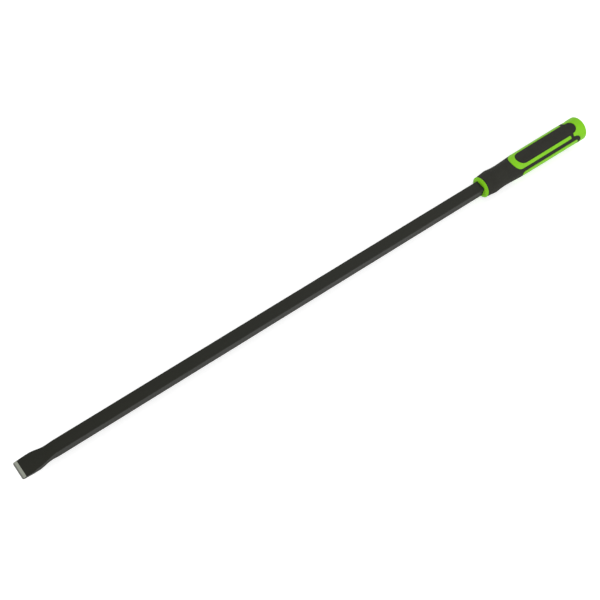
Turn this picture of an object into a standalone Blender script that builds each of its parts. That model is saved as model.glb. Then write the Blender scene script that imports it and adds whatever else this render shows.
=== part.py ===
"""Straight pry bar: a square forged bar with a chisel blade, a two-colour moulded handle and a
steel strike cap.

The bar lies along X, with its blade edge at -X and its strike face at +X. The broad faces of the
blade look up and down. The origin is under the middle of the bar, on the surface it lies on.
"""

from math import cos, pi, radians, sin, tan

import bmesh
import bpy
from mathutils import Matrix, Vector

# All sizes are in metres.
OVERALL_LENGTH = 0.900
CLEARANCE = 0.0003

# Square shank and its chisel blade. Lengths are measured from the edge of the blade.
SHANK_WIDTH = 0.016
SHANK_CORNER = 0.0017
BLADE_WIDTH = 0.024
WIDEST_PLACE = 0.014
EDGE_WIDTH = 0.0235
EDGE_THICKNESS = 0.001
EDGE_CORNER = 0.002
FACET_LENGTH = 0.0018
FACET_THICKNESS = 0.0024
BEVEL_LENGTH = 0.0058
BEVEL_THICKNESS = 0.0038
CHEEK_LENGTH = 0.0125
CHEEK_THICKNESS = 0.0050
SWELL_LENGTH = 0.022
SWELL_THICKNESS = 0.0092
STEM_LENGTH = 0.032
NECK_LENGTH = 0.050
FLARE_LENGTH = 0.020
FLARE_WIDTH = 0.0227
FLARE_END = 0.044

# Tang from the shank's shoulder to the heel, with grooves that lock the moulding onto it.
TANG_WIDTH = 0.014
TANG_CORNER = 0.0012
GROOVE_RADIUS = 0.006
GROOVE_DEPTH = 0.0016
GROOVE_PITCH = 0.042
GROOVE_COUNT = 3
SPIGOT_DIAMETER = 0.009
RIVET_HEAD_DIAMETER = 0.0114

# Strike cap, let into the heel of the handle.
CAP_DIAMETER = 0.022
CAP_THICKNESS = 0.006
CAP_PROUD = 0.002
CAP_CHAMFER = 0.0008

# Handle. Front stations are measured back from the face of the collar.
HANDLE_LENGTH = 0.1895
CORE_DIAMETER = 0.028
COLLAR_LENGTH = 0.0028
COLLAR_LIP = 0.00135
COLLAR_FACE_DIAMETER = 0.0242
COLLAR_BAND = 0.0002
COLLAR_EASE = 0.0004
BULGE_STATION = 0.0198
WAIST_STATION = 0.0388
BODY_STATION = 0.0695
HEEL_ROUND = 0.0028

# Thickness of the soft moulding over the core, and how far the green stands above it.
NOSE_WALL = 0.00095
BULGE_WALL = 0.0028
WAIST_WALL = 0.0015
GRIP_WALL = 0.0027
REAR_GRIP_WALL = 0.0031
FRAME_RAISE = 0.0005

# Green frames and side bars. Widths are measured along the surface of the grip.
PANEL_WIDTH = 0.0211
PANEL_STATION = 0.0634
PANEL_NOSE = 0.0135
FRAME_ARM_WIDTH = 0.0049
FRAME_STATION = 0.0540
FRAME_NOSE = 0.0125
ARM_END_ROUND = 0.0016
SIDE_BAR_WIDTH = 0.0090
SIDE_BAR_STATION = 0.0665

# Back end of the pattern, measured forward from the heel.
RING_FRONT = 0.0299
RING_BACK = 0.0246
PANEL_LOBE_END = 0.0145
PANEL_LOBE_WIDTH = 0.0192
SIDE_LOBE_END = 0.0121
SIDE_LOBE_WIDTH = 0.0230
SIDE_BAR_END = 0.0173
NUB_ROUND = 0.0012

# Facets of the turned, drawn-out and wrapped surfaces.
TURN_STEPS = 56
WRAP_STEPS = 7
WRAP_PHASE = 0.25
WALL_LAYERS = 2
ARC_STEPS = 15
CORNER_STEPS = 4
EDGE_CORNER_CUTS = (0.15, 0.5, 1.0)
CHEEK_STEPS = 2
SWELL_STEPS = 4
STEM_STEPS = 2
NECK_STEPS = 6
WAIST_STEPS = 5
BODY_STEPS = 6
GROOVE_SIDES = 24
ROUND_SHARE = 0.98
SEAM_WELD = 0.00001
POINT_WELD = 0.000001
ON_PLANE = 0.0000001
SHARP_ANGLE = radians(30)

# Places along X and about the axis that follow from the sizes above.
EDGE_X = -OVERALL_LENGTH / 2
STRIKE_X = OVERALL_LENGTH / 2
HEEL_X = STRIKE_X - CAP_PROUD
COLLAR_X = HEEL_X - HANDLE_LENGTH
SLEEVE_X = COLLAR_X + COLLAR_LENGTH
CAP_SEAT_X = STRIKE_X - CAP_THICKNESS
SHOULDER_X = COLLAR_X - CLEARANCE
TANG_END_X = CAP_SEAT_X - CLEARANCE
CORE_RADIUS = CORE_DIAMETER / 2
GRIP_RADIUS = CORE_RADIUS + GRIP_WALL
WIDEST_WALL = max(COLLAR_LIP, BULGE_WALL, GRIP_WALL, REAR_GRIP_WALL)
AXIS_HEIGHT = CORE_RADIUS + WIDEST_WALL + FRAME_RAISE
QUARTER = GRIP_RADIUS * pi / 2
WALL_MARGIN = 0.001
WALL_FOOT = CORE_RADIUS - WALL_MARGIN
WALL_TOP = AXIS_HEIGHT + WALL_MARGIN


def clear_scene():
    for scene_object in list(bpy.data.objects):
        bpy.data.objects.remove(scene_object, do_unlink=True)


def new_collection(name, parent=None):
    collection = bpy.data.collections.new(name)
    (parent or bpy.context.scene.collection).children.link(collection)
    return collection


def new_material(name, colour, roughness, metallic=0.0):
    material = bpy.data.materials.new(name)
    material.use_nodes = True
    shader = material.node_tree.nodes["Principled BSDF"]
    shader.inputs["Base Color"].default_value = (*colour, 1.0)
    shader.inputs["Roughness"].default_value = roughness
    shader.inputs["Metallic"].default_value = metallic
    material.diffuse_color = (*colour, 1.0)
    return material


def place(name, mesh, collection, material=None):
    """Link a mesh as an object on the bar's axis, as a piece or, with no material, a cutter."""
    piece = bpy.data.objects.new(name, mesh)
    collection.objects.link(piece)
    piece.parent = axis
    if material:
        mesh.materials.append(material)
    else:
        piece.hide_render = True
        piece.display_type = "WIRE"
    return piece


def boolean(piece, operation, tools):
    """Cut or join every object of a collection in one step, and clean the seams."""
    modifier = piece.modifiers.new(f"{operation.lower()} {tools.name}", "BOOLEAN")
    modifier.operation = operation
    modifier.solver = "EXACT"
    modifier.operand_type = "COLLECTION"
    modifier.collection = tools
    weld = piece.modifiers.new("weld seams", "WELD")
    weld.merge_threshold = SEAM_WELD


def finish(piece):
    """Apply the modelling steps, cut the faces into triangles and smooth the round ones."""
    piece.modifiers.new("flat faces", "TRIANGULATE")
    depsgraph = bpy.context.evaluated_depsgraph_get()
    mesh = bpy.data.meshes.new_from_object(piece.evaluated_get(depsgraph))
    mesh.name = piece.name
    piece.modifiers.clear()
    piece.data = mesh
    mesh.shade_smooth()
    mesh.set_sharp_from_angle(angle=SHARP_ANGLE)


def steady(share):
    """A straight run from one size to the next."""
    return share


def smooth(share):
    """A run from one size to the next that is level at both ends."""
    return share * share * (3 - 2 * share)


def settling(share):
    """A run from one size to the next that starts steeply and ends level."""
    return share * (2 - share)


def along(stations, place_x):
    """Read a size at a place from (place, size, run up to it) stations in rising order."""
    for (x0, size0, _), (x1, size1, run) in zip(stations, stations[1:]):
        if place_x <= x1:
            share = max(0.0, (place_x - x0) / (x1 - x0))
            return size0 + (size1 - size0) * run(share)
    return stations[-1][1]


def between(start, end, steps):
    """Evenly spaced places after the start, up to and with the end."""
    return [start + (end - start) * step / steps for step in range(1, steps + 1)]


def block(length, width, corner, start_x):
    """A square bar along X with rounded long corners, as a bmesh."""
    bm = bmesh.new()
    bmesh.ops.create_cube(bm, size=1.0)
    bmesh.ops.scale(bm, vec=(length, width, width), verts=bm.verts)
    bmesh.ops.translate(bm, vec=(start_x + length / 2, 0, 0), verts=bm.verts)
    long_edges = [e for e in bm.edges if abs(e.verts[0].co.x - e.verts[1].co.x) > length / 2]
    bmesh.ops.bevel(bm, geom=long_edges, offset=corner, segments=CORNER_STEPS, profile=0.5,
                    affect="EDGES")
    return bm


def slice_across(bm, point, normal):
    """Add edges where a plane crosses the mesh."""
    everything = bm.verts[:] + bm.edges[:] + bm.faces[:]
    bmesh.ops.bisect_plane(bm, geom=everything, dist=ON_PLANE, plane_co=point, plane_no=normal)


def finished(bm, name):
    mesh = bpy.data.meshes.new(name)
    bmesh.ops.recalc_face_normals(bm, faces=bm.faces)
    bm.to_mesh(mesh)
    bm.free()
    return mesh


def blade_thickness(distance):
    stations = [
        (0.0, EDGE_THICKNESS, steady),
        (FACET_LENGTH, FACET_THICKNESS, steady),
        (BEVEL_LENGTH, BEVEL_THICKNESS, steady),
        (CHEEK_LENGTH, CHEEK_THICKNESS, steady),
        (SWELL_LENGTH, SWELL_THICKNESS, smooth),
        (STEM_LENGTH, SWELL_THICKNESS, steady),
        (NECK_LENGTH, SHANK_WIDTH, smooth),
    ]
    return along(stations, distance)


def blade_width(distance):
    stations = [
        (0.0, EDGE_WIDTH, steady),
        (WIDEST_PLACE, BLADE_WIDTH, smooth),
        (FLARE_LENGTH, FLARE_WIDTH, smooth),
        (FLARE_END, SHANK_WIDTH, smooth),
    ]
    width = along(stations, distance)
    if distance < EDGE_CORNER:
        width -= 2 * (EDGE_CORNER - (EDGE_CORNER**2 - (EDGE_CORNER - distance) ** 2) ** 0.5)
    return width


def forged_shank():
    """The square bar up to the tang's shoulder, drawn out and widened into the blade."""
    length = SHOULDER_X - EDGE_X
    bm = block(length, SHANK_WIDTH, SHANK_CORNER, EDGE_X)
    cuts = [EDGE_CORNER * share for share in EDGE_CORNER_CUTS]
    cuts += [FACET_LENGTH, BEVEL_LENGTH]
    cuts += between(BEVEL_LENGTH, CHEEK_LENGTH, CHEEK_STEPS)
    cuts += between(CHEEK_LENGTH, SWELL_LENGTH, SWELL_STEPS)
    cuts += between(SWELL_LENGTH, STEM_LENGTH, STEM_STEPS)
    cuts += between(STEM_LENGTH, NECK_LENGTH, NECK_STEPS)
    for cut in cuts:
        slice_across(bm, (EDGE_X + cut, 0, 0), (1, 0, 0))
    for vert in bm.verts:
        distance = max(0.0, vert.co.x - EDGE_X)
        vert.co.y *= blade_width(distance) / SHANK_WIDTH
        vert.co.z *= blade_thickness(distance) / SHANK_WIDTH
    return finished(bm, "bar")


def turned(name, profile, collection, material=None):
    """Turn a profile of (radius, x) points about the bar's axis, from the heel to the blade."""
    bm = bmesh.new()
    verts = [bm.verts.new((radius, 0, x)) for radius, x in profile]
    for start, end in zip(verts, verts[1:]):
        bm.edges.new((start, end))
    if profile[0][0] > 0:
        bm.edges.new((verts[-1], verts[0]))
    mesh = bpy.data.meshes.new(name)
    bm.to_mesh(mesh)
    bm.free()
    piece = place(name, mesh, collection, material)
    piece.rotation_euler = (0, pi / 2, 0)
    screw = piece.modifiers.new("turn", "SCREW")
    screw.angle = 2 * pi
    screw.steps = TURN_STEPS
    screw.render_steps = TURN_STEPS
    screw.use_merge_vertices = True
    screw.merge_threshold = SEAM_WELD
    return piece


def quarter_round(centre_radius, centre_x, size, start, end, steps=CORNER_STEPS):
    """Points of an arc of a turned profile, with angles counted from +X towards the outside."""
    points = []
    for step in range(steps + 1):
        angle = start + (end - start) * step / steps
        points.append((centre_radius + size * sin(angle), centre_x + size * cos(angle)))
    return points


def grip_radius(x):
    """Radius of the soft grip, from its nose at the collar to the heel."""
    stations = [
        (SLEEVE_X, NOSE_WALL, steady),
        (COLLAR_X + BULGE_STATION, BULGE_WALL, steady),
        (COLLAR_X + WAIST_STATION, WAIST_WALL, settling),
        (COLLAR_X + BODY_STATION, GRIP_WALL, smooth),
        (HEEL_X, REAR_GRIP_WALL, steady),
    ]
    return CORE_RADIUS + along(stations, x)


def grip_stations():
    """Places where the grip's turned profile bends, from the body to the bulge."""
    bulge_x = COLLAR_X + BULGE_STATION
    waist_x = COLLAR_X + WAIST_STATION
    body_x = COLLAR_X + BODY_STATION
    places = [bulge_x]
    places += between(bulge_x, waist_x, WAIST_STEPS)
    places += between(waist_x, body_x, BODY_STEPS)
    return places[::-1]


def rounded(corners):
    """Fillet an outline given as (x, width, fillet radius) corners, in order."""
    outline = []
    count = len(corners)
    for index, (x, width, radius) in enumerate(corners):
        here = Vector((x, width))
        if radius <= 0:
            outline.append(here)
            continue
        before = (Vector(corners[index - 1][:2]) - here).normalized()
        after = (Vector(corners[(index + 1) % count][:2]) - here).normalized()
        half = before.angle(after) / 2
        reach = radius / tan(half)
        centre = here + (before + after).normalized() * (radius / sin(half))
        first = here + before * reach - centre
        sweep = first.angle_signed(here + after * reach - centre)
        for step in range(CORNER_STEPS + 1):
            turn = Matrix.Rotation(-sweep * step / CORNER_STEPS, 2)
            outline.append(centre + turn @ first)
    return outline


def half_ellipse(start_x, length, half_width):
    """Points of a rounded front end, from one side over the front to the other."""
    points = []
    for step in range(ARC_STEPS + 1):
        angle = -pi / 2 + pi * step / ARC_STEPS
        points.append((start_x + length * (1 - cos(angle)), half_width * sin(angle), 0.0))
    return points


def frame_outline(grow):
    """A frame: rounded front, an opening for the panel, and two arms that end at the ring."""
    outer = PANEL_WIDTH / 2 + FRAME_ARM_WIDTH + grow
    inner = PANEL_WIDTH / 2 - grow
    front = half_ellipse(COLLAR_X + FRAME_STATION - grow, FRAME_NOSE + grow, outer)
    opening = half_ellipse(COLLAR_X + PANEL_STATION + grow, PANEL_NOSE - grow, inner)
    arm_end = HEEL_X - RING_FRONT + grow
    end_round = ARM_END_ROUND + grow
    corners = front
    corners += [(arm_end, outer, end_round), (arm_end, inner, end_round)]
    corners += opening[::-1]
    corners += [(arm_end, -inner, end_round), (arm_end, -outer, end_round)]
    return rounded(corners)


def side_bar_outline(grow):
    """A long bar with round ends."""
    half = SIDE_BAR_WIDTH / 2 + grow
    front = COLLAR_X + SIDE_BAR_STATION - grow
    back = HEEL_X - SIDE_BAR_END + grow
    fillet = half * ROUND_SHARE
    corners = [(front, -half), (front, half), (back, half), (back, -half)]
    return rounded([(x, width, fillet) for x, width in corners])


def heel_outline(grow):
    """Half the way round the heel: its front edge makes room for the soft lobes."""
    end_x = HEEL_X + CLEARANCE
    front = HEEL_X - RING_BACK - grow
    panel_back = HEEL_X - PANEL_LOBE_END - grow
    side_back = HEEL_X - SIDE_LOBE_END - grow
    overlap = CLEARANCE
    panel_half = PANEL_LOBE_WIDTH / 2 - grow
    side_half = SIDE_LOBE_WIDTH / 2 - grow
    nub_round = NUB_ROUND + grow
    panel_round = min(panel_half, panel_back - front - nub_round) * ROUND_SHARE
    side_round = min(side_half, side_back - front - nub_round) * ROUND_SHARE
    right = [
        (panel_back, panel_half, panel_round),
        (front, panel_half, nub_round),
        (front, QUARTER - side_half, nub_round),
        (side_back, QUARTER - side_half, side_round),
        (side_back, QUARTER + overlap, 0.0),
        (end_x, QUARTER + overlap, 0.0),
    ]
    left = [(x, -width, radius) for x, width, radius in reversed(right)]
    return rounded(right + left)


def wrapped(name, outline, turn, collection):
    """Wrap a flat outline round the axis, as a wall that runs in towards the axis."""
    curve = bpy.data.curves.new(name, "CURVE")
    curve.dimensions = "2D"
    curve.fill_mode = "BOTH"
    curve.extrude = (WALL_TOP - WALL_FOOT) / 2
    spline = curve.splines.new("POLY")
    spline.points.add(len(outline) - 1)
    for point, (x, width) in zip(spline.points, outline):
        point.co = (x, width, 0, 1)
    spline.use_cyclic_u = True
    flat = bpy.data.objects.new(name, curve)
    bpy.context.scene.collection.objects.link(flat)
    mesh = bpy.data.meshes.new_from_object(flat.evaluated_get(
        bpy.context.evaluated_depsgraph_get()))
    bpy.data.objects.remove(flat)
    bm = bmesh.new()
    bm.from_mesh(mesh)
    bpy.data.meshes.remove(mesh)
    bmesh.ops.remove_doubles(bm, verts=bm.verts, dist=POINT_WELD)
    strip = QUARTER / WRAP_STEPS
    reach = int(max(abs(width) for _, width in outline) / strip)
    for step in range(-reach - 1, reach + 1):
        slice_across(bm, (0, (step + WRAP_PHASE) * strip, 0), (0, 1, 0))
    layer = (WALL_TOP - WALL_FOOT) / WALL_LAYERS
    for step in range(1, WALL_LAYERS):
        slice_across(bm, (0, 0, (WALL_FOOT - WALL_TOP) / 2 + step * layer), (0, 0, 1))
    middle = (WALL_TOP + WALL_FOOT) / 2
    for vert in bm.verts:
        angle = vert.co.y / GRIP_RADIUS + turn
        radius = middle + vert.co.z
        vert.co = (vert.co.x, radius * sin(angle), radius * cos(angle))
    bmesh.ops.triangulate(bm, faces=bm.faces)
    return place(name, finished(bm, name), collection)


def green_walls(name, grow):
    """Cutters with the outlines of all that is green on the handle, grown by a clearance."""
    walls = new_collection(name, cutters)
    for side in (0, 1):
        turn = side * pi
        wrapped(f"{name}_frame_{side}", frame_outline(grow), turn, walls)
        wrapped(f"{name}_side_bar_{side}", side_bar_outline(grow), turn + pi / 2, walls)
        wrapped(f"{name}_heel_{side}", heel_outline(grow), turn, walls)
    return walls


def spigot_profile(start_x, grow):
    """The turned end of the tang, with the head that is peened over the strike cap."""
    head = RIVET_HEAD_DIAMETER / 2 + grow
    neck = SPIGOT_DIAMETER / 2 + grow
    return [(head, STRIKE_X), (neck, STRIKE_X - (head - neck)), (neck, start_x)]


def make_bar(material):
    bar = place("bar", forged_shank(), parts, material)
    inside = new_collection("inside_the_handle", cutters)
    tang("tang", 0.0, inside)
    profile = spigot_profile(TANG_END_X - TANG_WIDTH / 2, 0.0)
    profile = [(0, profile[0][1])] + profile + [(0, profile[-1][1])]
    turned("spigot", profile, inside)
    boolean(bar, "UNION", inside)
    return bar


def tang(name, grow, collection):
    """The tang, rooted in the shank, up to the strike cap, with round grooves in two sides."""
    start_x = SHOULDER_X - TANG_WIDTH / 2
    bm = block(TANG_END_X + grow - start_x, TANG_WIDTH + 2 * grow, TANG_CORNER + grow, start_x)
    body = place(name, finished(bm, name), collection)
    grooves = new_collection(f"{name}_grooves", cutters)
    middle_x = (SHOULDER_X + TANG_END_X) / 2
    for step in range(GROOVE_COUNT):
        x = middle_x + (step - (GROOVE_COUNT - 1) / 2) * GROOVE_PITCH
        for side in (-1, 1):
            y = side * (TANG_WIDTH / 2 + GROOVE_RADIUS - GROOVE_DEPTH)
            bm = bmesh.new()
            bmesh.ops.create_cone(bm, cap_ends=True, segments=GROOVE_SIDES, depth=TANG_WIDTH * 2,
                                  radius1=GROOVE_RADIUS - grow, radius2=GROOVE_RADIUS - grow)
            groove_name = f"{name}_groove_{step}_{side}"
            groove = place(groove_name, finished(bm, groove_name), grooves)
            groove.location = (x, y, 0)
    boolean(body, "DIFFERENCE", grooves)


def make_strike_cap(material):
    edge = CAP_DIAMETER / 2
    hole = spigot_profile(CAP_SEAT_X, CLEARANCE)
    profile = [
        (edge - CAP_CHAMFER, STRIKE_X),
        (edge, STRIKE_X - CAP_CHAMFER),
        (edge, CAP_SEAT_X + CAP_CHAMFER),
        (edge - CAP_CHAMFER, CAP_SEAT_X),
    ]
    profile += hole[::-1]
    return turned("strike_cap", profile, parts, material)


def make_handle_core(material):
    recess = CAP_DIAMETER / 2 + CLEARANCE
    seat_x = CAP_SEAT_X - CLEARANCE
    heel_radius = grip_radius(HEEL_X) + FRAME_RAISE
    collar = CORE_RADIUS + COLLAR_LIP
    nose = CORE_RADIUS + NOSE_WALL
    profile = [(0, seat_x), (recess, seat_x), (recess, HEEL_X)]
    profile += quarter_round(heel_radius - HEEL_ROUND, HEEL_X - HEEL_ROUND, HEEL_ROUND, 0, pi / 2)
    profile += [(grip_radius(x) + FRAME_RAISE, x) for x in grip_stations()]
    profile += [(2 * nose - collar, SLEEVE_X + COLLAR_EASE), (collar, SLEEVE_X - COLLAR_EASE)]
    slope_end = SLEEVE_X - COLLAR_EASE - COLLAR_BAND
    profile += [(collar, slope_end), (COLLAR_FACE_DIAMETER / 2, COLLAR_X), (0, COLLAR_X)]
    core = turned("handle_core", profile, parts, material)

    hollows = new_collection("core_hollows", cutters)
    pocket_end = HEEL_X - HEEL_ROUND
    pocket = turned("grip_pocket", [
        (WALL_TOP - CLEARANCE, pocket_end),
        (WALL_TOP - CLEARANCE, SLEEVE_X),
        (CORE_RADIUS, SLEEVE_X),
        (CORE_RADIUS, pocket_end),
    ], hollows)
    boolean(pocket, "DIFFERENCE", green_walls("core_walls", 0.0))

    tang("tang_hole", CLEARANCE, hollows)
    boolean(core, "DIFFERENCE", hollows)
    return core


def make_soft_grip(material):
    end_x = HEEL_X - HEEL_ROUND
    start_x = SLEEVE_X + CLEARANCE
    inner = CORE_RADIUS + CLEARANCE
    profile = [(grip_radius(x), x) for x in [end_x] + grip_stations()]
    profile += [(grip_radius(start_x), start_x), (inner, start_x), (inner, end_x)]
    grip = turned("soft_grip", profile, parts, material)
    boolean(grip, "DIFFERENCE", green_walls("grip_walls", CLEARANCE))
    return grip


clear_scene()
parts = new_collection("pry_bar")
cutters = new_collection("pry_bar_cutters")
axis = bpy.data.objects.new("bar_axis", None)
axis.location = (0, 0, AXIS_HEIGHT)
parts.objects.link(axis)

make_bar(new_material("black_steel", (0.045, 0.045, 0.040), 0.45, 0.6))
make_handle_core(new_material("green_plastic", (0.230, 0.660, 0.026), 0.40))
make_soft_grip(new_material("charcoal_rubber", (0.040, 0.040, 0.034), 0.70))
make_strike_cap(new_material("bright_steel", (0.55, 0.56, 0.57), 0.30, 1.0))

for part in parts.objects:
    if part.type == "MESH":
        finish(part)
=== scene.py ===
from math import asin, ceil, cos, pi, radians, sin, tan

import bmesh
import bpy
import numpy as np
from mathutils import Matrix, Vector, kdtree, noise
from mathutils.geometry import delaunay_2d_cdt


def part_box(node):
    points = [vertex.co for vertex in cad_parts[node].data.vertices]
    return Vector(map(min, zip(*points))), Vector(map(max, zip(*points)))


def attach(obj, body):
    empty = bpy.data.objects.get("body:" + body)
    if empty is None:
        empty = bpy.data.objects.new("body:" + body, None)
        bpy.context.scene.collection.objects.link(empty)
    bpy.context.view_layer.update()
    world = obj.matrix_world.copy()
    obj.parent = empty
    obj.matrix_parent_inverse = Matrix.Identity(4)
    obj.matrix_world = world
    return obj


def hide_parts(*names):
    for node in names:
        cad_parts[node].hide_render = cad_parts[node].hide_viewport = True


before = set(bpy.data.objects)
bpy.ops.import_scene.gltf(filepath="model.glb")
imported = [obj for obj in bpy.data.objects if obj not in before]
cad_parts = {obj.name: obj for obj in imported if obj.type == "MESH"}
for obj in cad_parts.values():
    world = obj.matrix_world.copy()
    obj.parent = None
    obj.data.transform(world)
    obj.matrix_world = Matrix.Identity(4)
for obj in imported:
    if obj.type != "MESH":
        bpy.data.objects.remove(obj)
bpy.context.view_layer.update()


# The bar: one steel forging, square along the shank and drawn out to a flared chisel blade. In the
# handle it steps down to a square tang, and the tang's round end is peened over the strike cap.
# It is blacked all over, and then the blade's bevels are ground bare.

# Sizes here and below are in metres. The bar lies along X with its blade at the low end.
bar_low, bar_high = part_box("bar")
core_low, core_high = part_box("handle_core")
cap_low, cap_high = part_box("strike_cap")
axis_z = (core_low.z + core_high.z) / 2
edge_x = bar_low.x
collar_x = core_low.x
tang_end_x = cap_low.x
strike_x = bar_high.x
shank_half = bar_high.z - axis_z
blade_half = bar_high.y
SHANK_CORNER = 0.0017
TANG_HALF = 0.007
TANG_CORNER = 0.0012
SPIGOT_RADIUS = 0.0045
RIVET_HEAD_RADIUS = 0.0057
RIVET_DOME = 0.0004
DOME_SHARES = (1.0, 0.85, 0.65, 0.45, 0.25, 0.1)
SEAM_GAP = 0.00005
POINT_GAP = 0.000001

# The hammer's unevenness: its depth, and how many waves there are in a metre along and across.
FORGING_WAVE = 0.00006
WAVES_ALONG = 28
WAVES_ACROSS = 60

# Half thickness and half width of the forged blade, before grinding, at distances from its edge.
BLADE_THICKNESS = [(0.0, 0.00165), (0.0058, 0.0019), (0.0125, 0.0025)]
NECK_THICKNESS = [(0.0125, 0.0025), (0.022, 0.0046), (0.032, 0.0046), (0.050, shank_half)]
BLADE_WIDTH = [(0.0, 0.01175), (0.014, blade_half), (0.020, 0.01135), (0.044, shank_half)]
BLADE_CORNER = 0.0008
EDGE_CORNER = 0.0020

# The ground faces of the blade: half thickness at distances from its edge.
GROUND_THICKNESS = [(0.0, 0.0005), (0.0018, 0.0012), (0.0058, 0.0019)]

# How far apart the rings of the mesh are at most, and how finely each ring is drawn.
FACET_STEP = 0.0002
BLADE_STEP = 0.0006
NECK_STEP = 0.001
SHANK_STEP = 0.008
CORNER_STEPS = 8
SIDE_STEPS = 8
CREASE_ANGLE = radians(28)


def eased(stations, place):
    """Read a size at a place from (place, size) stations, level at each station."""
    for (x0, size0), (x1, size1) in zip(stations, stations[1:]):
        if place <= x1:
            share = max(0.0, (place - x0) / (x1 - x0))
            return size0 + (size1 - size0) * share * share * (3 - 2 * share)
    return stations[-1][1]


def straight(stations, place):
    """Read a size at a place from (place, size) stations, in straight runs."""
    for (x0, size0), (x1, size1) in zip(stations, stations[1:]):
        if place <= x1:
            return size0 + (size1 - size0) * max(0.0, (place - x0) / (x1 - x0))
    return stations[-1][1]


def spread(start, end, most):
    """Evenly spaced places from the start up to the end, no further apart than the most."""
    steps = max(1, ceil((end - start) / most))
    return [start + (end - start) * step / steps for step in range(steps + 1)]


def section(x, half_y, half_z, corner, ground=None):
    """A rounded rectangle about the bar's axis; with a corner as large as the halves, a circle.

    Its top and bottom can be ground flat at a lower half height, which cuts its corners short.
    """
    corner = min(corner, half_y, half_z)
    ground = min(half_z, ground or half_z)
    turn = asin(max(0.0, min(1.0, (ground - half_z + corner) / corner)))
    sides = ((1, 1, 0, turn), (-1, 1, pi - turn, pi), (-1, -1, pi, pi + turn), (1, -1, -turn, 0))
    arcs = []
    for side_y, side_z, start, end in sides:
        arc = []
        for step in range(CORNER_STEPS + 1):
            angle = start + (end - start) * step / CORNER_STEPS
            y = side_y * (half_y - corner) + corner * cos(angle)
            z = side_z * (half_z - corner) + corner * sin(angle)
            arc.append((y, max(-ground, min(ground, z))))
        arcs.append(arc)
    ring = []
    for arc, following in zip(arcs, arcs[1:] + arcs[:1]):
        ring += arc
        (y0, z0), (y1, z1) = arc[-1], following[0]
        for step in range(1, SIDE_STEPS):
            share = step / SIDE_STEPS
            ring.append((y0 + (y1 - y0) * share, z0 + (z1 - z0) * share))
    return [Vector((x, y, axis_z + z)) for y, z in ring]


def band(bm, row, following):
    """Join two closed rows of points by a band of faces."""
    for index in range(len(row)):
        after = (index + 1) % len(row)
        bm.faces.new((row[index], row[after], following[after], following[index]))


def loft(bm, rings, hollow=False):
    """Join rings of equal count into a closed skin, with flat ends or, for a tube, round again."""
    rows = [[bm.verts.new(point) for point in ring] for ring in rings]
    for row, following in zip(rows, rows[1:] + rows[:1] * hollow):
        band(bm, row, following)
    if not hollow:
        bm.faces.new(rows[0])
        bm.faces.new(rows[-1][::-1])


def finished(bm, name, materials):
    """Turn a bmesh into an object whose edges are crisp where its faces meet at an angle."""
    bmesh.ops.remove_doubles(bm, verts=bm.verts, dist=POINT_GAP)
    bmesh.ops.recalc_face_normals(bm, faces=bm.faces)
    for face in bm.faces:
        face.smooth = True
    for edge in bm.edges:
        faces = edge.link_faces
        same = len({face.material_index for face in faces}) == 1
        edge.smooth = same and edge.calc_face_angle(0.0) < CREASE_ANGLE
    mesh = bpy.data.meshes.new(name)
    bm.to_mesh(mesh)
    bm.free()
    for material in materials:
        mesh.materials.append(material)
    piece = bpy.data.objects.new(name, mesh)
    bpy.context.scene.collection.objects.link(piece)
    return piece


def add_node(tree, kind, **inputs):
    """Add a shader node and set its sockets by name, with blanks written as underscores."""
    node = tree.nodes.new(kind)
    for name, value in inputs.items():
        socket = node.inputs[name.replace("_", " ")]
        if isinstance(value, bpy.types.NodeSocket):
            tree.links.new(value, socket)
        else:
            socket.default_value = value
    return node


def new_group(name, inputs, outputs):
    """Start a shader node group with named sockets, and return it with its two end nodes."""
    tree = bpy.data.node_groups.new(name, "ShaderNodeTree")
    for socket, (kind, value) in inputs.items():
        made = tree.interface.new_socket(socket, in_out="INPUT", socket_type=kind)
        made.default_value = value
    for socket, kind in outputs.items():
        tree.interface.new_socket(socket, in_out="OUTPUT", socket_type=kind)
    return tree, tree.nodes.new("NodeGroupInput"), tree.nodes.new("NodeGroupOutput")


def place_group(tree, group, **inputs):
    """Place a node group in a material and set its named inputs."""
    node = tree.nodes.new("ShaderNodeGroup")
    node.node_tree = group
    for name, value in inputs.items():
        node.inputs[name.replace("_", " ")].default_value = value
    return node


def drawn_noise(tree, given, detail):
    """Noise in the bar's own space, at the group's scale, squeezed along each axis as told."""
    place = tree.nodes.new("ShaderNodeTexCoord")
    shaped = tree.nodes.new("ShaderNodeVectorMath")
    shaped.operation = "MULTIPLY"
    tree.links.new(place.outputs["Object"], shaped.inputs[0])
    tree.links.new(given.outputs["Squeeze"], shaped.inputs[1])
    return add_node(tree, "ShaderNodeTexNoise", Vector=shaped.outputs["Vector"],
                    Scale=given.outputs["Scale"], Detail=detail)


def make_grain_group():
    """Fine relief of a surface, drawn out along the axes where the squeeze is small."""
    tree, given, result = new_group(
        "surface_grain",
        {"Scale": ("NodeSocketFloat", 1000.0), "Squeeze": ("NodeSocketVector", (1, 1, 1))},
        {"Height": "NodeSocketFloat"},
    )
    grain = drawn_noise(tree, given, detail=3.0)
    tree.links.new(grain.outputs["Fac"], result.inputs["Height"])
    return tree


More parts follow.
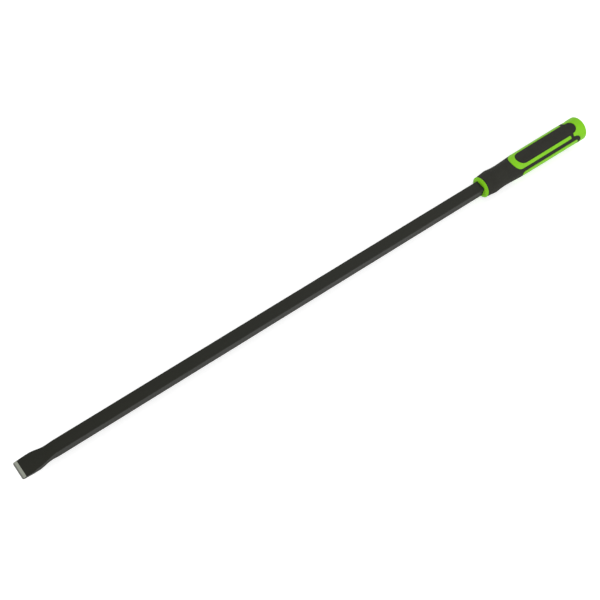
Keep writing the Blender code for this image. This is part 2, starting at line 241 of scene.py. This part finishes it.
def make_tone_group():
    """Slow change between two tones of one finish, as a colour and as its mask."""
    tree, given, result = new_group(
        "mottled_tone",
        {"Scale": ("NodeSocketFloat", 50.0), "Squeeze": ("NodeSocketVector", (1, 1, 1)),
         "Tone": ("NodeSocketColor", (0.5, 0.5, 0.5, 1)),
         "Other Tone": ("NodeSocketColor", (0.6, 0.6, 0.6, 1))},
        {"Color": "NodeSocketColor", "Mask": "NodeSocketFloat"},
    )
    cloud = drawn_noise(tree, given, detail=4.0)
    mask = add_node(tree, "ShaderNodeMapRange", Value=cloud.outputs["Fac"],
                    From_Min=0.35, From_Max=0.65)
    mix = add_node(tree, "ShaderNodeMixRGB", Fac=mask.outputs["Result"],
                   Color1=given.outputs["Tone"], Color2=given.outputs["Other Tone"])
    tree.links.new(mix.outputs["Color"], result.inputs["Color"])
    tree.links.new(mask.outputs["Result"], result.inputs["Mask"])
    return tree


surface_grain = make_grain_group()
mottled_tone = make_tone_group()


def new_finish(name, **plain):
    """Start a material with its Principled shader, setting the sockets that stay plain."""
    material = bpy.data.materials.new(name)
    material.use_nodes = True
    shader = material.node_tree.nodes["Principled BSDF"]
    for socket, value in plain.items():
        shader.inputs[socket.replace("_", " ")].default_value = value
    return material, material.node_tree, shader


def add_relief(tree, shader, height, depth):
    """Feed a height to the shader's normal, with its real depth in metres."""
    bump = add_node(tree, "ShaderNodeBump", Height=height, Distance=depth)
    tree.links.new(bump.outputs["Normal"], shader.inputs["Normal"])


def add_tone(tree, shader, tones, roughness, scale, squeeze=(1.0, 1.0, 1.0)):
    """Let the colour drift between two tones, and the roughness with it."""
    tone, other_tone = tones
    cloud = place_group(tree, mottled_tone, Scale=scale, Squeeze=squeeze,
                        Tone=(*tone, 1), Other_Tone=(*other_tone, 1))
    low, high = roughness
    change = add_node(tree, "ShaderNodeMapRange", Value=cloud.outputs["Mask"],
                      To_Min=low, To_Max=high)
    tree.links.new(cloud.outputs["Color"], shader.inputs["Base Color"])
    tree.links.new(change.outputs["Result"], shader.inputs["Roughness"])


def add_grain(tree, shader, scale, depth, squeeze=(1.0, 1.0, 1.0)):
    """Give the surface its fine relief."""
    grain = place_group(tree, surface_grain, Scale=scale, Squeeze=squeeze)
    add_relief(tree, shader, grain.outputs["Height"], depth)


black_steel, tree, shader = new_finish("black_steel", Specular_IOR_Level=0.13)
add_tone(tree, shader, tones=[(0.0142, 0.0148, 0.0107), (0.0166, 0.0172, 0.0125)],
         roughness=(0.42, 0.52), scale=45.0, squeeze=(0.08, 1.0, 1.0))
add_grain(tree, shader, scale=2200.0, depth=0.00006, squeeze=(0.6, 1.0, 1.0))

ground_steel, tree, shader = new_finish("ground_steel", Metallic=1.0)
add_tone(tree, shader, tones=[(0.265, 0.280, 0.235), (0.325, 0.340, 0.290)],
         roughness=(0.36, 0.50), scale=260.0, squeeze=(1.0, 0.3, 1.0))
add_grain(tree, shader, scale=9000.0, depth=0.00003, squeeze=(0.03, 1.0, 1.0))

# A darker copy of the ground steel for the tip's end face and the narrow facets beside it. Its
# darker tone is painted shade on those faces; its rougher finish and grain across the edge stand as
# the grinding.
edge_steel_painted_shade, tree, shader = new_finish("edge_steel_painted_shade", Metallic=1.0)
add_tone(tree, shader, tones=[(0.150, 0.155, 0.140), (0.200, 0.205, 0.185)],
         roughness=(0.46, 0.58), scale=260.0, squeeze=(1.0, 0.3, 1.0))
add_grain(tree, shader, scale=7000.0, depth=0.00003, squeeze=(1.0, 0.03, 1.0))

facet_end = GROUND_THICKNESS[1][0]
bevel_end = GROUND_THICKNESS[2][0]
neck_start = NECK_THICKNESS[0][0]
neck_end = NECK_THICKNESS[-1][0]
runs = [(0.0, facet_end, FACET_STEP), (facet_end, bevel_end, BLADE_STEP),
        (bevel_end, neck_start, BLADE_STEP), (neck_start, neck_end, NECK_STEP)]
distances = []
for start, end, most in runs:
    distances += spread(start, end, most)[:-1]
distances += spread(neck_end, collar_x - edge_x - SEAM_GAP, SHANK_STEP)
rings = []
for distance in distances:
    half_y = eased(BLADE_WIDTH, distance)
    half_z = straight(BLADE_THICKNESS, distance)
    if distance > neck_start:
        half_z = eased(NECK_THICKNESS, distance)
    corner = eased([(neck_start, BLADE_CORNER), (neck_end, SHANK_CORNER)], distance)
    if distance < EDGE_CORNER:
        half_y -= EDGE_CORNER - (EDGE_CORNER**2 - (EDGE_CORNER - distance) ** 2) ** 0.5
    ground = straight(GROUND_THICKNESS, distance) if distance < bevel_end else None
    rings.append(section(edge_x + distance, half_y, half_z, corner, ground))
rings.append(section(rings[-1][0].x, TANG_HALF, TANG_HALF, TANG_CORNER))
rings.append(section(tang_end_x, TANG_HALF, TANG_HALF, TANG_CORNER))
rings.append(section(tang_end_x, SPIGOT_RADIUS, SPIGOT_RADIUS, SPIGOT_RADIUS))
flare = RIVET_HEAD_RADIUS - SPIGOT_RADIUS
rings.append(section(strike_x - flare, SPIGOT_RADIUS, SPIGOT_RADIUS, SPIGOT_RADIUS))
for share in DOME_SHARES:
    radius = RIVET_HEAD_RADIUS * share
    x = strike_x - RIVET_DOME * share**2
    rings.append(section(x, radius, radius, radius))
bm = bmesh.new()
loft(bm, rings)
for vert in bm.verts:
    if bevel_end < vert.co.x - edge_x < distances[-1]:
        wave = noise.noise(vert.co * Vector((WAVES_ALONG, WAVES_ACROSS, WAVES_ACROSS)))
        outward = Vector((0, vert.co.y, vert.co.z - axis_z)).normalized()
        vert.co += outward * FORGING_WAVE * (wave - 1)
forging_finishes = [black_steel, ground_steel, edge_steel_painted_shade]
for face in bm.faces:
    from_edge = [vert.co.x - edge_x for vert in face.verts]
    heights = [abs(vert.co.z - axis_z) for vert in face.verts]
    middle_x = face.calc_center_median().x
    edge_face = max(from_edge) < POINT_GAP
    ground_face = max(from_edge) < bevel_end + POINT_GAP and all(
        height > straight(GROUND_THICKNESS, distance) - POINT_GAP
        for height, distance in zip(heights, from_edge))
    # The end face and the facets nearest the edge take the darker steel with its painted shade.
    if edge_face or (ground_face and middle_x < edge_x + facet_end):
        face.material_index = forging_finishes.index(edge_steel_painted_shade)
    elif ground_face or middle_x > strike_x - flare:
        face.material_index = forging_finishes.index(ground_steel)
bar = finished(bm, "bar_forging", forging_finishes)
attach(bar, "root")
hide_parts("bar")


# The green core: one hard, satin moulding shot over the tang. The soft grip leaves bare its front
# collar, the two long frames above and below, the two side bars, and the rounded heel. It is made
# here as a tube with a collar and, seated on it, the raised pieces that show.

# Radii, rounds and places along the handle, from its collar to its heel.
CORE_RADIUS = 0.014
COLLAR_LENGTH = 0.0028
COLLAR_RADIUS = 0.01535
COLLAR_FACE_RADIUS = 0.0121
COLLAR_BAND = 0.0006
COLLAR_ROUND = 0.0008
COLLAR_BACK_ROUND = 0.0003
NOSE_RADIUS = 0.01495
BULGE_RADIUS = 0.0168
WAIST_RADIUS = 0.0155
BODY_RADIUS = 0.0167
FRAME_RAISE = 0.0005
sleeve_x = collar_x + COLLAR_LENGTH
bulge_x = collar_x + 0.0198
waist_x = collar_x + 0.0388
body_x = collar_x + 0.0695
seat_x = tang_end_x
heel_x = core_high.x
heel_radius = core_high.z - axis_z

# Frames, side bars and the edge of the heel. Widths are measured along the surface of the grip.
PANEL_WIDTH = 0.0211
PANEL_NOSE = 0.0135
FRAME_ARM_WIDTH = 0.0049
FRAME_NOSE = 0.0125
ARM_END_ROUND = 0.0016
SIDE_BAR_WIDTH = 0.0090
PANEL_LOBE_WIDTH = 0.0192
SIDE_LOBE_WIDTH = 0.0230
NUB_ROUND = 0.0012
ROUND_SHARE = 0.98
frame_x = collar_x + 0.0540
panel_x = collar_x + 0.0634
side_bar_x = collar_x + 0.0665
ring_front_x = heel_x - 0.0299
ring_back_x = heel_x - 0.0246
panel_lobe_x = heel_x - 0.0145
side_lobe_x = heel_x - 0.0121
side_bar_end_x = heel_x - 0.0173
HEEL_ROUND = 0.0028
RECESS_RADIUS = 0.0113
GREEN_EDGE = 0.00045

# How finely the mouldings are drawn: points in a ring, in a fillet, in a frame's front, over a
# rounded edge, over the heel's rim, and the most between two points of an outline.
AROUND = 128
FILLET_STEPS = 10
NOSE_STEPS = 40
EDGE_STEPS = 5
HEEL_STEPS = 12
OUTLINE_STEP = 0.0012
lap = 2 * pi * BODY_RADIUS
quarter = lap / 4

# The open surface of a moulding is filled with a grid of points this far apart round and along it,
# none of them nearer than the room to an outline.
CELLS_AROUND = 80
CELL_WIDTH = lap / CELLS_AROUND
CELL_LENGTH = 2 * CELL_WIDTH
CELL_ROOM = 0.55 * CELL_WIDTH

# What the triangulation gives back, and how near to each other it takes two points as one.
EVERY_TRIANGLE = 0
ROUNDING = 1e-9


def circle(x, radius):
    """A fine ring about the bar's axis."""
    angles = [2 * pi * step / AROUND for step in range(AROUND)]
    return [Vector((x, radius * sin(a), axis_z + radius * cos(a))) for a in angles]


def square_hole(x, half, corner):
    """A ring with as many points as a circle, on the outline of a rounded square."""
    ring = []
    inset = half - corner
    for step in range(AROUND):
        angle = 2 * pi * step / AROUND
        wide, narrow = sorted((abs(cos(angle)), abs(sin(angle))), reverse=True)
        reach = half / wide
        if reach * narrow > inset:
            lean = inset * (wide + narrow)
            reach = lean + (lean**2 - 2 * inset**2 + corner**2) ** 0.5
        ring.append(Vector((x, reach * sin(angle), axis_z + reach * cos(angle))))
    return ring


def grip_radius(x):
    """Radius of the soft grip: it swells from the collar, dips to a waist and fills the hand."""
    if x < bulge_x:
        return straight([(sleeve_x, NOSE_RADIUS), (bulge_x, BULGE_RADIUS)], x)
    if x < waist_x:
        share = (waist_x - x) / (waist_x - bulge_x)
        return WAIST_RADIUS + (BULGE_RADIUS - WAIST_RADIUS) * share**2
    if x < body_x:
        return eased([(waist_x, WAIST_RADIUS), (body_x, BODY_RADIUS)], x)
    return straight([(body_x, BODY_RADIUS), (heel_x, heel_radius - FRAME_RAISE)], x)


def green_radius(x):
    """Radius of the green pieces, which stand a little proud of the soft grip."""
    return grip_radius(x) + FRAME_RAISE


def filleted(corners, shift=0.0):
    """Fillet a closed outline of (x, width, radius) corners; round the grip it ends one lap on."""
    outline = []
    laps = [Vector((0, -shift)), Vector((0, shift))]
    places = [Vector(corner[:2]) for corner in corners]
    befores = [places[-1] + laps[0]] + places[:-1]
    afters = places[1:] + [places[0] + laps[1]]
    for here, before, after, (_, _, radius) in zip(places, befores, afters, corners):
        if radius <= 0:
            outline.append(here)
            continue
        into, out = (before - here).normalized(), (after - here).normalized()
        half = into.angle(out) / 2
        centre = here + (into + out).normalized() * (radius / sin(half))
        first = here + into * (radius / tan(half)) - centre
        sweep = first.angle_signed(here + out * (radius / tan(half)) - centre)
        for step in range(FILLET_STEPS + 1):
            outline.append(centre + Matrix.Rotation(-sweep * step / FILLET_STEPS, 2) @ first)
    return outline


def half_ellipse(start_x, length, half_width):
    """Points of a rounded front end, from one side over the front to the other."""
    angles = [-pi / 2 + pi * step / NOSE_STEPS for step in range(NOSE_STEPS + 1)]
    return [(start_x + length * (1 - cos(a)), half_width * sin(a), 0.0) for a in angles]


def frame_outline(grow):
    """A frame: rounded front, an opening for the soft panel, and two arms that end at the band."""
    outer = PANEL_WIDTH / 2 + FRAME_ARM_WIDTH + grow
    inner = PANEL_WIDTH / 2 - grow
    front = half_ellipse(frame_x - grow, FRAME_NOSE + grow, outer)
    opening = half_ellipse(panel_x + grow, PANEL_NOSE - grow, inner)
    arm_end = ring_front_x + grow
    end_round = ARM_END_ROUND + grow
    corners = front + [(arm_end, outer, end_round), (arm_end, inner, end_round)]
    corners += opening[::-1] + [(arm_end, -inner, end_round), (arm_end, -outer, end_round)]
    return filleted(corners)


def side_bar_outline(grow):
    """A long bar with round ends."""
    half = SIDE_BAR_WIDTH / 2 + grow
    front, back = side_bar_x - grow, side_bar_end_x + grow
    corners = [(front, -half), (front, half), (back, half), (back, -half)]
    return filleted([(x, width, half * ROUND_SHARE) for x, width in corners])


def heel_edge(grow):
    """The heel's front edge, once round the grip, with room for the soft grip's four lobes."""
    front = ring_back_x - grow
    nub_round = NUB_ROUND + grow
    corners = []
    for index in range(4):
        centre = index * quarter
        back = (panel_lobe_x, side_lobe_x)[index % 2] - grow
        half = (PANEL_LOBE_WIDTH, SIDE_LOBE_WIDTH)[index % 2] / 2 - grow
        lobe_round = min(half, back - front - nub_round) * ROUND_SHARE
        corners += [(front, centre - half, nub_round), (back, centre - half, lobe_round),
                    (back, centre + half, lobe_round), (front, centre + half, nub_round)]
    return filleted(corners, lap)


def hoop(x):
    """A ring once round the grip, as an outline of (x, width) points."""
    return [Vector((x, lap * step / AROUND)) for step in range(AROUND)]


def divided(rings, shift):
    """Divide the long runs of every ring alike, in as many parts as the first ring needs."""
    ends = rings[0][1:] + [rings[0][0] + Vector((0, shift))]
    counts = [max(1, ceil((end - start).length / OUTLINE_STEP))
              for start, end in zip(rings[0], ends)]
    result = []
    for ring in rings:
        ends = ring[1:] + [ring[0] + Vector((0, shift))]
        result.append([start.lerp(end, step / count)
                       for start, end, count in zip(ring, ends, counts) for step in range(count)])
    return result


def rim(outline, size, towards, shift=0.0):
    """Rings over the rounded edge of a moulding, each with its drop below the plain surface."""
    turns = [pi / 2 * step / EDGE_STEPS for step in range(EDGE_STEPS + 1)]
    insets = [size * (1 - cos(turn)) for turn in turns]
    drops = [size * (1 - sin(turn)) for turn in turns]
    rings = divided([outline(towards * inset) for inset in insets], shift)
    return list(zip(rings, drops))


def unrolled(points):
    """Lay places on the grip out flat as rings that grow along it, so that they stay joined."""
    x, width = np.array([tuple(point) for point in points]).T
    radius = np.exp((x - collar_x) / (2 * BODY_RADIUS))
    angle = width / BODY_RADIUS
    return np.column_stack((radius * np.cos(angle), radius * np.sin(angle)))


def inside(points, loops):
    """Which laid-out points lie within an odd number of the laid-out loops."""
    count = np.zeros(len(points), dtype=int)
    for loop in loops:
        for (x0, y0), (x1, y1) in zip(loop, np.roll(loop, -1, axis=0)):
            if y0 == y1:
                continue
            crossing = (points[:, 1] > y0) != (points[:, 1] > y1)
            reach = x0 + (points[:, 1] - y0) * (x1 - x0) / (y1 - y0)
            count += crossing & (points[:, 0] < reach)
    return count % 2 == 1


def on_grip(place, radius):
    """The point in space of an (x, width) place on the grip, at a radius."""
    angle = place[1] / BODY_RADIUS
    return Vector((place[0], radius * sin(angle), axis_z + radius * cos(angle)))


def moulding(name, rims, surface, material, closing=()):
    """Make a raised moulding that fills the outlines of its rims and stands on the core.

    Each rim is a list of (ring, drop) from its edge inwards. The closing is a profile of
    (radius, x) points that the last rim's edge runs over on its way down to the core.
    """
    borders = [rings[-1][0] for rings in rims]
    flat_borders = [unrolled(border) for border in borders]
    near = kdtree.KDTree(sum(len(border) for border in borders))
    for place in sum(borders, []):
        near.insert(on_grip(place, BODY_RADIUS), 0)
    near.balance()
    low_x = min(place[0] for border in borders for place in border)
    high_x = max(place[0] for border in borders for place in border)
    cells = []
    for row_x in np.arange(low_x + CELL_LENGTH / 2, high_x, CELL_LENGTH):
        for column in range(CELLS_AROUND):
            place = (row_x, column * CELL_WIDTH)
            if near.find(on_grip(place, BODY_RADIUS))[2] > CELL_ROOM:
                cells.append(place)
    if cells:
        kept = inside(unrolled(cells), flat_borders)
        cells = [place for place, keep in zip(cells, kept) if keep]

    places = sum(borders, []) + [Vector(cell) for cell in cells]
    flat = unrolled(places)
    edges, start = [], 0
    for border in borders:
        count = len(border)
        edges += [(start + index, start + (index + 1) % count) for index in range(count)]
        start += count
    _, _, faces, origins, _, _ = delaunay_2d_cdt(
        [Vector(point) for point in flat], edges, [], EVERY_TRIANGLE, ROUNDING)
    triangles = np.array([[origins[corner][0] for corner in face] for face in faces])
    kept = inside(flat[triangles].mean(axis=1), flat_borders)

    bm = bmesh.new()
    layers = []
    for top in (True, False):
        verts = [bm.verts.new(on_grip(place, surface(place[0]) if top else CORE_RADIUS))
                 for place in places]
        for triangle in triangles[kept]:
            bm.faces.new([verts[corner] for corner in triangle])
        edge_rows, start = [], 0
        for rings in rims:
            inner = verts[start:start + len(rings[0][0])]
            start += len(inner)
            for ring, drop in rings[-2::-1]:
                row = [bm.verts.new(on_grip(place, surface(place[0]) - drop if top
                                            else CORE_RADIUS)) for place in ring]
                band(bm, inner, row)
                inner = row
            edge_rows.append(inner)
        layers.append(edge_rows)
    for index, (upper, lower) in enumerate(zip(*layers)):
        if index == len(rims) - 1:
            for radius, x in closing:
                row = [bm.verts.new(on_grip((x, place[1]), radius)) for place in rims[-1][0][0]]
                band(bm, upper, row)
                upper = row
        band(bm, upper, lower)
    return finished(bm, name, [material])


green_plastic, tree, shader = new_finish("green_plastic", Specular_IOR_Level=0.12)
add_tone(tree, shader, tones=[(0.212, 0.575, 0.011), (0.224, 0.598, 0.014)],
         roughness=(0.38, 0.46), scale=60.0)
add_grain(tree, shader, scale=2600.0, depth=0.00003)

rings = [square_hole(seat_x, TANG_HALF + SEAM_GAP, TANG_CORNER + SEAM_GAP),
         square_hole(collar_x, TANG_HALF + SEAM_GAP, TANG_CORNER + SEAM_GAP)]
collar_profile = filleted([
    (seat_x, CORE_RADIUS, 0.0),
    (collar_x, TANG_HALF, 0.0),
    (collar_x, COLLAR_FACE_RADIUS, COLLAR_ROUND),
    (sleeve_x - COLLAR_BAND, COLLAR_RADIUS, COLLAR_ROUND),
    (sleeve_x, COLLAR_RADIUS, COLLAR_BACK_ROUND),
    (sleeve_x, CORE_RADIUS, 0.0),
])
rings += [circle(x, radius) for x, radius in collar_profile[2:]]
rings.append(circle(seat_x, CORE_RADIUS))
bm = bmesh.new()
loft(bm, rings, hollow=True)
green_pieces = [finished(bm, "core_tube", [green_plastic])]


def at_side(shape, index, gap=0.0):
    """A shape's outline at one of the four sides of the grip, a gap larger all round."""
    def outline(grow):
        return [place + Vector((0, index * quarter)) for place in shape(gap + grow)]
    return outline


shapes_round_grip = [("frame_top", frame_outline), ("side_bar_near", side_bar_outline),
                     ("frame_under", frame_outline), ("side_bar_far", side_bar_outline)]
for index, (name, shape) in enumerate(shapes_round_grip):
    rims = [rim(at_side(shape, index), GREEN_EDGE, -1)]
    green_pieces.append(moulding(name, rims, green_radius, green_plastic))

rim_x = heel_x - HEEL_ROUND
heel_profile = [(green_radius(rim_x), rim_x)]
for step in range(1, HEEL_STEPS + 1):
    angle = pi / 2 * (1 - step / HEEL_STEPS)
    rim_radius = green_radius(rim_x) - HEEL_ROUND
    heel_profile.append((rim_radius + HEEL_ROUND * sin(angle), rim_x + HEEL_ROUND * cos(angle)))
heel_profile += [(RECESS_RADIUS, heel_x), (RECESS_RADIUS, seat_x)]
heel_rims = [rim(heel_edge, GREEN_EDGE, -1, lap), [(hoop(seat_x), 0.0)]]
green_pieces.append(moulding("heel", heel_rims, green_radius, green_plastic, heel_profile))
for piece in green_pieces:
    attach(piece, "root")
    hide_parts("handle_core")


# The soft grip: a charcoal rubbery moulding shot over the core in the same tool. Its sleeve swells
# behind the collar, its panels lie inside the frames, and a band near the heel joins it all. Its
# surface is dull, with the fine grain of the tool.
SOFT_EDGE = 0.00025

charcoal_rubber, tree, shader = new_finish("charcoal_rubber", Specular_IOR_Level=0.12)
add_tone(tree, shader, tones=[(0.0215, 0.0218, 0.0172), (0.0275, 0.0278, 0.0225)],
         roughness=(0.68, 0.78), scale=90.0)
add_grain(tree, shader, scale=2400.0, depth=0.0002)


def sleeve_edge(grow):
    """The sleeve's front edge, a seam behind the collar."""
    return hoop(sleeve_x + SEAM_GAP + grow)


soft_rims = [rim(sleeve_edge, SOFT_EDGE, 1, lap)]
for index, (_, shape) in enumerate(shapes_round_grip):
    soft_rims.append(rim(at_side(shape, index, SEAM_GAP), SOFT_EDGE, 1))
soft_rims.append(rim(at_side(heel_edge, 0, SEAM_GAP), SOFT_EDGE, 1, lap))
grip = moulding("soft_grip_skin", soft_rims, grip_radius, charcoal_rubber)
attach(grip, "root")
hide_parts("soft_grip")


# The strike cap: a disc turned from bright steel and let into the heel. The tang goes through it,
# and its peened end holds it. Hammer blows go through it straight into the bar.
CAP_CHAMFER = 0.0008
CAP_HOLE_GAP = 0.0001
cap_radius = cap_high.z - axis_z
hole_radius = SPIGOT_RADIUS + CAP_HOLE_GAP
head_hole_radius = RIVET_HEAD_RADIUS + CAP_HOLE_GAP

bright_steel, tree, shader = new_finish("bright_steel", Metallic=1.0)
add_tone(tree, shader, tones=[(0.38, 0.39, 0.40), (0.47, 0.48, 0.49)],
         roughness=(0.24, 0.36), scale=140.0)

# The lathe tool's rings: noise that changes only with the distance from the bar's axis.
place = tree.nodes.new("ShaderNodeTexCoord")
split = add_node(tree, "ShaderNodeSeparateXYZ", Vector=place.outputs["Object"])
raised = tree.nodes.new("ShaderNodeMath")
raised.operation = "SUBTRACT"
raised.inputs[1].default_value = axis_z
tree.links.new(split.outputs["Z"], raised.inputs[0])
off_axis = add_node(tree, "ShaderNodeCombineXYZ", X=split.outputs["Y"],
                    Y=raised.outputs["Value"])
from_axis = tree.nodes.new("ShaderNodeVectorMath")
from_axis.operation = "LENGTH"
tree.links.new(off_axis.outputs["Vector"], from_axis.inputs[0])
lines = tree.nodes.new("ShaderNodeTexNoise")
lines.noise_dimensions = "1D"
lines.inputs["Scale"].default_value = 4500.0
lines.inputs["Detail"].default_value = 2.0
tree.links.new(from_axis.outputs["Value"], lines.inputs["W"])
add_relief(tree, shader, lines.outputs["Fac"], depth=0.00003)

rings = [
    circle(cap_low.x, cap_radius - CAP_CHAMFER),
    circle(cap_low.x + CAP_CHAMFER, cap_radius),
    circle(cap_high.x - CAP_CHAMFER, cap_radius),
    circle(cap_high.x, cap_radius - CAP_CHAMFER),
    circle(cap_high.x, head_hole_radius),
    circle(cap_high.x - flare, hole_radius),
    circle(cap_low.x, hole_radius),
]
bm = bmesh.new()
loft(bm, rings, hollow=True)
cap = finished(bm, "strike_cap_disc", [bright_steel])
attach(cap, "root")
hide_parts("strike_cap")


# The studio: a pale floor that the bar lies on, clear from below, with white all around it, four
# soft lamps, and a camera that looks down on the bar at the photograph's angle.
FLOOR_SIZE = 3.2
FLOOR_DROP = 0.00005
SKY_LIGHT = 0.50
SKY_WHITE = 1.0
floor_mesh = bpy.data.meshes.new("floor")
half = FLOOR_SIZE / 2
floor_mesh.from_pydata([(-half, -half, 0), (half, -half, 0), (half, half, 0), (-half, half, 0)],
                       [], [(0, 1, 2, 3)])
floor = bpy.data.objects.new("floor", floor_mesh)
bpy.context.scene.collection.objects.link(floor)
floor.location.z = -FLOOR_DROP


def seen_directly(tree):
    """One for a ray that shows a thing by sight, in gloss or through glass, and zero for light."""
    rays = tree.nodes.new("ShaderNodeLightPath")
    seen = rays.outputs["Is Camera Ray"]
    for kind in ("Is Glossy Ray", "Is Transmission Ray"):
        either = tree.nodes.new("ShaderNodeMath")
        either.operation = "MAXIMUM"
        tree.links.new(seen, either.inputs[0])
        tree.links.new(rays.outputs[kind], either.inputs[1])
        seen = either.outputs["Value"]
    return seen


floor_white, tree, shader = new_finish(
    "floor_white", Base_Color=(0.8, 0.8, 0.8, 1), Roughness=0.9, Specular_IOR_Level=0.0,
    Emission_Color=(0.53, 0.53, 0.53, 1))
tree.links.new(seen_directly(tree), shader.inputs["Emission Strength"])
facing = tree.nodes.new("ShaderNodeNewGeometry")
clear = tree.nodes.new("ShaderNodeBsdfTransparent")
upper_side = add_node(tree, "ShaderNodeMixShader", Fac=facing.outputs["Backfacing"])
tree.links.new(shader.outputs["BSDF"], upper_side.inputs[1])
tree.links.new(clear.outputs["BSDF"], upper_side.inputs[2])
tree.links.new(upper_side.outputs["Shader"], tree.nodes["Material Output"].inputs["Surface"])
floor_mesh.materials.append(floor_white)

scene = bpy.context.scene
scene.view_settings.view_transform = "Standard"
world = bpy.data.worlds.new("studio")
scene.world = world
world.use_nodes = True
tree = world.node_tree
tree.nodes["Background"].inputs["Color"].default_value = (1, 1, 1, 1)
glow = add_node(tree, "ShaderNodeMapRange", Value=seen_directly(tree),
                To_Min=SKY_LIGHT, To_Max=SKY_WHITE)
tree.links.new(glow.outputs["Result"], tree.nodes["Background"].inputs["Strength"])


def add_lamp(name, place, aim, size, power, shine=True):
    """A square lamp that faces its aim; without shine it lights without a reflection of itself."""
    lamp = bpy.data.lights.new(name, "AREA")
    lamp.size = size
    lamp.energy = power
    lamp_object = bpy.data.objects.new(name, lamp)
    scene.collection.objects.link(lamp_object)
    lamp_object.visible_glossy = shine
    lamp_object.location = place
    lamp_object.rotation_euler = (Vector(aim) - Vector(place)).to_track_quat("-Z", "Y").to_euler()


add_lamp("near_lamp", place=(0.85, -1.15, 0.85), aim=(0.2, 0, 0), size=1.2, power=11.3)
add_lamp("top_lamp", place=(1.2, 0.8, 1.9), aim=(0.1, 0, 0), size=1.6, power=9.0)
add_lamp("far_lamp", place=(0.6, 1.4, 1.3), aim=(0.2, 0, 0), size=1.4, power=3.0, shine=False)
add_lamp("front_lamp", place=(-1.9, -0.15, 0.5), aim=(0.2, 0, 0), size=1.0, power=15.0, shine=False)

# How the bar is tilted out of the picture, rolled about its axis and sloped across the picture,
# how far off the camera is, what it looks at, and how far it is moved across and along the bar.
BAR_TILT = radians(20.3)
BAR_ROLL = radians(22.9)
BAR_SLOPE = radians(31.57)
VIEW_DISTANCE = 1.3597
VIEW_CENTRE_X = -0.0483
VIEW_SHIFT = 0.0018
VIEW_SLIDE = 0.0011
FOCAL_LENGTH = 64.4
SENSOR_WIDTH = 36.0
view_centre = Vector((VIEW_CENTRE_X, 0, axis_z))
bar_way = Vector((1, 0, 0))
view = Vector((sin(BAR_TILT), cos(BAR_TILT) * sin(BAR_ROLL), -cos(BAR_TILT) * cos(BAR_ROLL)))
along = (bar_way - view * view.dot(bar_way)).normalized()
across = view.cross(along)
right = along * cos(BAR_SLOPE) + across * sin(BAR_SLOPE)
up = along * sin(BAR_SLOPE) - across * cos(BAR_SLOPE)
camera_data = bpy.data.cameras.new("camera")
camera_data.sensor_width = SENSOR_WIDTH
camera_data.lens = FOCAL_LENGTH
camera_data.clip_start = 0.01
camera = bpy.data.objects.new("camera", camera_data)
scene.collection.objects.link(camera)
turned_to = Matrix((right, up, -view)).transposed().to_4x4()
camera_place = view_centre - view * VIEW_DISTANCE + across * VIEW_SHIFT - along * VIEW_SLIDE
camera.matrix_world = Matrix.Translation(camera_place) @ turned_to
scene.camera = camera
